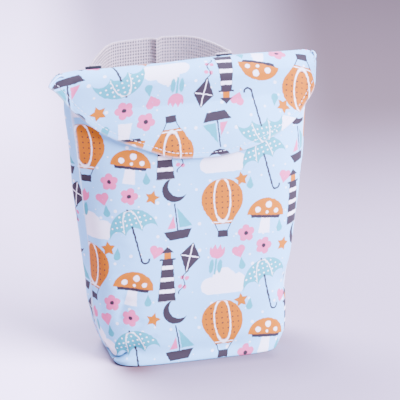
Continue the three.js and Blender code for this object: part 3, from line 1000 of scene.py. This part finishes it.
def copies(flat, across, up, turn):
    x, y = (flat - (across, up, 0.0)).split()
    column = x.calc("ROUND", x / REPEAT_ACROSS)
    x = x - column * REPEAT_ACROSS
    y = y - column * (REPEAT_UP / 2)
    y = y.calc("WRAP", y, REPEAT_UP / 2, -REPEAT_UP / 2)
    turned = {"Angle": math.radians(-turn), "Vector": x.joined(y)}
    return x.node("ShaderNodeVectorRotate", {"rotation_type": "Z_AXIS"}, turned)


def noise(place, scale, detail=2.0, output=0):
    return place.node(
        "ShaderNodeTexNoise", {"noise_dimensions": "2D"},
        {"Vector": place, "Scale": scale, "Detail": detail}, output,
    )


def plain_weave(place):
    u, v = place.split()
    return u.calc("SINE", u * (TAU / THREAD_PITCH)) * v.calc("SINE", v * (TAU / THREAD_PITCH))


cloth, cloth_shader = new_material(
    "printed_cloth", Roughness=0.72, Specular_IOR_Level=0.14, Sheen_Weight=0.04, Sheen_Roughness=0.5,
)
flat_mm = source(cloth, "ShaderNodeUVMap", 0, uv_map="flat_cloth") * 100
uneven = noise(flat_mm, 0.35, 2.0, 1)
ink_place = flat_mm + uneven * 1.3 - (0.65, 0.65, 0.65)

screens = {}
for draw, across, up, turn in LAYOUT:
    for ink, distance in draw(copies(ink_place, across, up, turn)):
        screens[ink] = screens[ink].low(distance) if ink in screens else distance

specks = flat_mm.node(
    "ShaderNodeTexVoronoi", {"voronoi_dimensions": "2D"},
    {"Vector": flat_mm, "Scale": 1 / SPECK_PITCH, "Randomness": 0.95},
)
chance, _ = Field(specks.socket.node.outputs["Color"]).split()
speck_size = chance * 1.7 - 0.25
colour = (specks * SPECK_PITCH - speck_size).inside(0.4).between(GROUND, INKS["white"])
for ink, tint in INKS.items():
    colour = colour.over(screens[ink].inside(0.45), tint)

# Painted highlight: a pale line along the seams and the flap's edge, read from the seam mark.
seam_highlight_mask = source(cloth, "ShaderNodeAttribute", "Fac", attribute_name="seam")
colour = colour.over(seam_highlight_mask * 0.85, SEAM_PAINTED_HIGHLIGHT)
# Painted shade: a dark line deep in the tuck at the left bottom corner.
tuck_shade_mask = source(cloth, "ShaderNodeAttribute", "Fac", attribute_name="tuck_shade")
colour = colour.over(tuck_shade_mask * 0.85, TUCK_PAINTED_SHADE)
mottle = noise(flat_mm, 0.06, 4.0)
threads = plain_weave(flat_mm)
shade = mottle * 0.10 + threads * 0.018 + 0.95
feed(cloth_shader, "Base Color", shade.times(colour))
feed(cloth_shader, "Roughness", mottle * 0.16 + 0.64)
feed(cloth_shader, "Normal", (threads + noise(flat_mm, 0.9, 3.0) * 1.2).bump(0.25, 0.00012))

reverse, reverse_shader = new_material("cloth_reverse", Roughness=0.6, Specular_IOR_Level=0.35)
reverse_mm = source(reverse, "ShaderNodeUVMap", 0, uv_map="flat_cloth") * 100
plain = noise(reverse_mm, 0.05, 3.0) * 0.12 + plain_weave(reverse_mm) * 0.02 + 0.92
feed(reverse_shader, "Base Color", plain.times(srgb(222, 228, 238)))
print(len(cloth.node_tree.nodes), "nodes in the printed cloth")

# %% [markdown]
# Webbing is spun yarn: each yarn differs a little from its neighbour, and nothing on it shines.
# Painted shade darkens the hollows between the yarns and the open corners of the weave. Hook tape
# is black nylon that has gathered a little lint.

# %% Webbing, hook tape and thread
webbing, webbing_shader = new_material(
    "grey_webbing", Roughness=0.88, Specular_IOR_Level=0.2, Sheen_Weight=0.2,
    Subsurface_Weight=1.0, Subsurface_Radius=(1.0, 1.0, 1.0), Subsurface_Scale=0.01,
)
yarn = source(webbing, "ShaderNodeAttribute", "Fac", attribute_name="yarn")
gap_shade = source(webbing, "ShaderNodeAttribute", "Fac", attribute_name="gap_shade")
strap_mm = source(webbing, "ShaderNodeUVMap", 0, uv_map="flat_cloth") * 100
# Painted shade in the weave: darker down in the hollows between yarns and nearly black at the open corners.
hollow_shade = (0.7 - yarn) * 0.5
spun = noise(strap_mm, 0.55, 4.0)
tone = spun.between(srgb(142, 125, 115), srgb(162, 142, 131))
tone = tone.over(hollow_shade.high(gap_shade), srgb(30, 26, 24))
feed(webbing_shader, "Base Color", tone)
fibres = noise(strap_mm * (1.0, 5.0, 1.0), 1.4, 4.0)
feed(webbing_shader, "Normal", fibres.bump(0.35, 0.0002))

tape, tape_shader = new_material("hook_tape", Roughness=0.8, Specular_IOR_Level=0.3)
place = source(tape, "ShaderNodeTexCoord", "Object") * 1000
lint = place.node("ShaderNodeTexNoise", {}, {"Vector": place, "Scale": 1.1, "Detail": 3.0})
linty = lint.calc("MULTIPLY_ADD", lint, 3.0, -1.75, clamp=True)
feed(tape_shader, "Base Color", linty.between(srgb(27, 24, 24), srgb(62, 56, 56)))
feed(tape_shader, "Normal", lint.bump(0.5, 0.0003))

thread, thread_shader = new_material("white_thread", Roughness=0.6, Sheen_Weight=0.2)
twist = source(thread, "ShaderNodeTexCoord", "Object") * 1000
ply = twist.node(
    "ShaderNodeTexWave", {"bands_direction": "DIAGONAL"},
    {"Vector": twist, "Scale": 1.2, "Distortion": 1.0},
)
feed(thread_shader, "Base Color", ply.between(srgb(214, 218, 228), srgb(240, 242, 247)))

finishes = [
    (front, cloth, reverse), (back, cloth, reverse), (bottom, cloth, cloth), (flap, cloth, cloth),
    (strap, webbing, webbing), *((pad, tape) for pad in pads.values()),
]
for piece, *materials in finishes:
    for material in materials:
        piece.data.materials.append(material)
print("materials:", [m.name for m in (cloth, reverse, webbing, tape, thread)])

# %% [markdown]
# ## Stitches and hooks
# A seam is one stitch repeated along a line, and hook tape is one hook repeated in rows. Both are
# the same small Geometry Nodes tree: a path is walked in even steps and a bead is set at each step
# along the way of the path. A stitch is a long bead and a hook a short one with some wobble.

# %% A tree that sets beads along a path
def bead_tree():
    tree = bpy.data.node_groups.new("beads_along_a_path", "GeometryNodeTree")
    sockets = [
        ("Geometry", "NodeSocketGeometry", None), ("Pitch", "NodeSocketFloat", 0.004),
        ("Size", "NodeSocketVector", (0.003, 0.0005, 0.0005)), ("Wobble", "NodeSocketFloat", 0.0),
        ("Seed", "NodeSocketInt", 7), ("Finish", "NodeSocketMaterial", None),
    ]
    for name, kind, value in sockets:
        made = tree.interface.new_socket(name, in_out="INPUT", socket_type=kind)
        if value is not None:
            made.default_value = value
    tree.interface.new_socket("Geometry", in_out="OUTPUT", socket_type="NodeSocketGeometry")

    def add(kind, values, **settings):
        node = tree.nodes.new(kind)
        for name, value in settings.items():
            setattr(node, name, value)
        for key, value in values.items():
            if isinstance(value, bpy.types.NodeSocket):
                tree.links.new(value, node.inputs[key])
            else:
                node.inputs[key].default_value = value
        return node

    given = tree.nodes.new("NodeGroupInput").outputs
    line = add("GeometryNodeMeshToCurve", {"Mesh": given["Geometry"]})
    steps = add(
        "GeometryNodeResampleCurve", {"Curve": line.outputs[0], "Length": given["Pitch"]},
        mode="LENGTH",
    )
    ball = add("GeometryNodeMeshUVSphere", {"Segments": 8, "Rings": 5, "Radius": 0.5})
    way = add("GeometryNodeInputTangent", {})
    turn = add("FunctionNodeAlignRotationToVector", {"Vector": way.outputs[0]}, axis="X")
    most = add("ShaderNodeMath", {0: given["Wobble"], 1: 1.0}, operation="ADD")
    least = add("ShaderNodeMath", {0: 1.0, 1: given["Wobble"]}, operation="SUBTRACT")
    vary = add("FunctionNodeRandomValue", {"Seed": given["Seed"]}, data_type="FLOAT_VECTOR")
    tree.links.new(least.outputs[0], vary.inputs[0])
    tree.links.new(most.outputs[0], vary.inputs[1])
    size = add("ShaderNodeVectorMath", {0: given["Size"], 1: vary.outputs[0]}, operation="MULTIPLY")
    beads = add(
        "GeometryNodeInstanceOnPoints",
        {
            "Points": steps.outputs[0], "Instance": ball.outputs[0],
            "Rotation": turn.outputs[0], "Scale": size.outputs[0],
        },
    )
    real = add("GeometryNodeRealizeInstances", {"Geometry": beads.outputs[0]})
    smooth = add("GeometryNodeSetShadeSmooth", {"Geometry": real.outputs[0]})
    finished = add(
        "GeometryNodeSetMaterial", {"Geometry": smooth.outputs[0], "Material": given["Finish"]}
    )
    tree.links.new(finished.outputs[0], tree.nodes.new("NodeGroupOutput").inputs[0])
    return tree


beads = bead_tree()


def grow(name, paths, **values):
    points = np.concatenate(paths)
    starts = np.cumsum([0] + [len(path) for path in paths])
    edges = [(i, i + 1) for a, b in zip(starts, starts[1:]) for i in range(a, b - 1)]
    mesh = bpy.data.meshes.new(name)
    mesh.from_pydata((points * MM).tolist(), [(int(a), int(b)) for a, b in edges], [])
    piece = bpy.data.objects.new(name, mesh)
    bpy.context.collection.objects.link(piece)
    modifier = piece.modifiers.new("beads", "NODES")
    modifier.node_group = beads
    for item in beads.interface.items_tree:
        if item.in_out == "INPUT" and item.name in values:
            modifier[item.identifier] = values[item.name]
    evaluated = piece.evaluated_get(bpy.context.evaluated_depsgraph_get())
    made = bpy.data.meshes.new_from_object(evaluated)
    piece.modifiers.clear()
    piece.data = made
    print(f"{name}: {len(made.polygons)} faces")
    return piece


# %% [markdown]
# The flap's topstitch runs 3.6 mm inside its edge, on the face and, as the lower thread, underneath.
# The path is found on the flat cut and then looked up on the hanging cloth.

# %% Topstitch and hooks
inward = np.gradient(edge_line[1:-1], axis=0)
inward = unit(np.stack([-inward[:, 1], inward[:, 0]], 1))
seam_flat = edge_line[1:-1] + inward * STITCH_INSET
side = FLAP_SIDE - STITCH_INSET
seam_flat = seam_flat[np.abs(seam_flat[:, 0]) < side]
seam_flat = np.vstack([[(-side, -6)], seam_flat, [(side, -6)]])
seam_flat = points_along(seam_flat, np.arange(0, run_lengths(seam_flat)[-1], 1.0))


def on_grid(grid, places):
    cols, rows = grid.shape[0] - 1, grid.shape[1] - 1
    c = np.clip((places[:, 0] / BACK_WIDTH + 0.5) * cols, 0, cols - 1e-6)
    r = np.clip(-places[:, 1] / flap_at(places[:, 0])["length"] * rows, 0, rows - 1e-6)
    i, j = c.astype(int), r.astype(int)
    a, b = (c - i)[:, None], (r - j)[:, None]
    return (
        grid[i, j] * (1 - a) * (1 - b) + grid[i + 1, j] * a * (1 - b)
        + grid[i, j + 1] * (1 - a) * b + grid[i + 1, j + 1] * a * b
    )


flap_face = lean(flap_outer + grid_normals(flap_points) * 0.12)
flap_under = lean(flap_inner - grid_normals(flap_points) * 0.05)
topstitch = grow(
    "flap_topstitch", [on_grid(flap_face, seam_flat), on_grid(flap_under, seam_flat)],
    Pitch=3.4 * MM, Size=(2.7 * MM, 0.55 * MM, 0.5 * MM), Wobble=0.06, Seed=11, Finish=thread,
)

hooks = {}
for node in pads:
    corners = np.array([v.co for v in frame["nodes"][node].data.vertices]) / MM
    low, high = corners.min(0), corners.max(0)
    bottom_ring = corners[corners[:, 2] < low[2] + 1]
    ends = sorted(bottom_ring.tolist(), key=lambda p: p[1])
    rear = sorted(ends[len(ends) // 2:], key=lambda p: p[0])
    a, b = np.array(rear[0]), np.array(rear[-1])
    rows = []
    for z in np.arange(low[2] + 1.2, high[2] - 0.6, 1.3):
        start, end = a * 0.94 + b * 0.06, a * 0.06 + b * 0.94
        rows.append(np.array([(*start[:2], z), (*end[:2], z)]))
    hooks[node] = grow(
        node + "_hooks", rows, Pitch=1.1 * MM, Size=(0.5 * MM, 0.5 * MM, 0.7 * MM),
        Wobble=0.35, Seed=5, Finish=tape,
    )

# %% [markdown]
# Every piece rides on the bag's one body, and each CAD solid that a piece stands for is hidden.
# The areas of the sheets are printed.

body = list(frame["bodies"])[0]
roles = [
    (front, "printed_cloth", ["front_panel"]), (back, "printed_cloth", ["back_panel"]),
    (bottom, "printed_cloth", ["base_panel"]), (flap, "printed_cloth", ["flap"]),
    (strap, "webbing", ["handle_strap"]), (topstitch, "printed_cloth", []),
    (pads["hook_pad_left"], "hook_tape", ["hook_pad_left"]),
    (pads["hook_pad_right"], "hook_tape", ["hook_pad_right"]),
    (hooks["hook_pad_left"], "hook_tape", []), (hooks["hook_pad_right"], "hook_tape", []),
]
for piece, slot, nodes in roles:
    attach(piece, body)
    if nodes:
        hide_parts(*nodes)


def sheet_area(grid):
    u, v = np.diff(grid, axis=0)[:, :-1], np.diff(grid, axis=1)[:-1]
    return np.linalg.norm(np.cross(u, v), axis=-1).sum() * MM * MM


grids = (front_outer, back_outer, floor_of_bag)
print("areas in square metres:", [round(float(sheet_area(grid)), 4) for grid in grids])
float(sheet_area(floor_of_bag))

# %% [markdown]
# ## Table and light
# The bag was photographed on a seamless pale lavender sheet, bright at the left and in shade at the
# far right, with a soft shadow at its foot. A big sheet of paper stands for it. Lamps and screens
# out of the picture made those tones; here they are in the paper's colour, which is simpler and
# leaves the light on the bag alone. Far away, where the lamps don't reach, the paper glows a little
# so that a low view doesn't end in the dark. The light is a large soft lamp at the right front, a
# second one behind at the left, and a faint even sky.

# %% Table
SHEET_REACH = 12.0
SHEET_DROP = 0.3 * MM
# Where the painted shadow under the lifted corner is centred.
LIFT_SHADOW_PLACE = (-0.050, -0.041)
corners = [(x, y, -SHEET_DROP) for x, y in ((-1, -1), (1, -1), (1, 1), (-1, 1))]
corners = [(x * SHEET_REACH, y * SHEET_REACH, z) for x, y, z in corners]
table_mesh = bpy.data.meshes.new("table")
table_mesh.from_pydata(corners, [], [(0, 1, 2, 3)])
table = bpy.data.objects.new("table", table_mesh)
bpy.context.collection.objects.link(table)
paper, paper_shader = new_material(
    "table_paper", Roughness=0.9, Specular_IOR_Level=0.1, Emission_Strength=0.55
)
spot = source(paper, "ShaderNodeTexCoord", "Object")
tx, ty = spot.split()
# Painted light and shade in the paper's colour: lighter at the left, painted shade at the far right,
# painted shadows before the bag's foot and along its front edge, and a painted shadow under the lifted
# corner with an orange-brown painted reflection of the print.
shaded = (tx - ty * 0.25).ramp(0.0, 0.17) * ty.ramp(0.1, 0.6)
painted_light_left = (tx - ty * 0.14).ramp(-0.01, -0.13) * abs(ty - 0.33).ramp(0.05, 0.35, 0.62, 1.0)
beside = (abs(tx) - 0.055).high(0.0).joined((abs(ty) - 0.039).high(0.0)).length()
before = ty.ramp(0.03, -0.02) * tx.ramp(-0.085, -0.05)
foot_painted_shadow = beside.ramp(0.0, 0.07, 1.0, 0.0) * before
contact_painted_shadow = beside.ramp(0.0, 0.014, 1.0, 0.0) * before
lift_painted_shadow = spot.from_place(*LIFT_SHADOW_PLACE).ramp(0.0, 0.038, 1.0, 0.0)
paper_tone = painted_light_left.between(srgb(168, 151, 157), srgb(246, 224, 232))
paper_tone = paper_tone.over(shaded, srgb(100, 86, 82))
paper_tone = paper_tone.over(foot_painted_shadow * 0.55, srgb(110, 96, 100))
paper_tone = paper_tone.over(contact_painted_shadow * 0.5, srgb(78, 72, 78))
paper_tone = paper_tone.over(lift_painted_shadow * lift_painted_shadow * 0.7, srgb(104, 66, 56))
feed(paper_shader, "Base Color", paper_tone)
# A painted glow, far away where the lamps don't reach.
far_painted_glow = spot.from_place(0.0, 0.0).ramp(1.2, 3.5)
feed(paper_shader, "Emission Color", far_painted_glow.between((0, 0, 0, 1), srgb(214, 206, 220)))
table_mesh.materials.append(paper)
print("paper sheet:", 2 * SHEET_REACH, "m across")


# %% Light
def lamp(name, place, size, power, tint):
    light = bpy.data.lights.new(name, "AREA")
    light.shape = "DISK"
    light.size = size
    light.energy = power
    light.color = tint
    made = bpy.data.objects.new(name, light)
    made.location = place
    made.rotation_euler = (Vector((0, 0, 0.1)) - Vector(place)).to_track_quat("-Z", "Y").to_euler()
    bpy.context.collection.objects.link(made)


DAYLIGHT = (0.61, 0.61, 1.0)
SKY, SKY_STRENGTH = (0.70, 0.72, 0.92, 1), 0.055
lamp("key", (1.05, -0.68, 1.08), 1.5, 300, DAYLIGHT)
lamp("back", (-0.40, 0.95, 1.33), 1.0, 115, DAYLIGHT)
world = bpy.data.worlds.new("soft_sky")
world.use_nodes = True
background = world.node_tree.nodes["Background"].inputs
background["Color"].default_value = SKY
background["Strength"].default_value = SKY_STRENGTH
bpy.context.scene.world = world
print("lamps:", [light.name for light in bpy.data.lights])
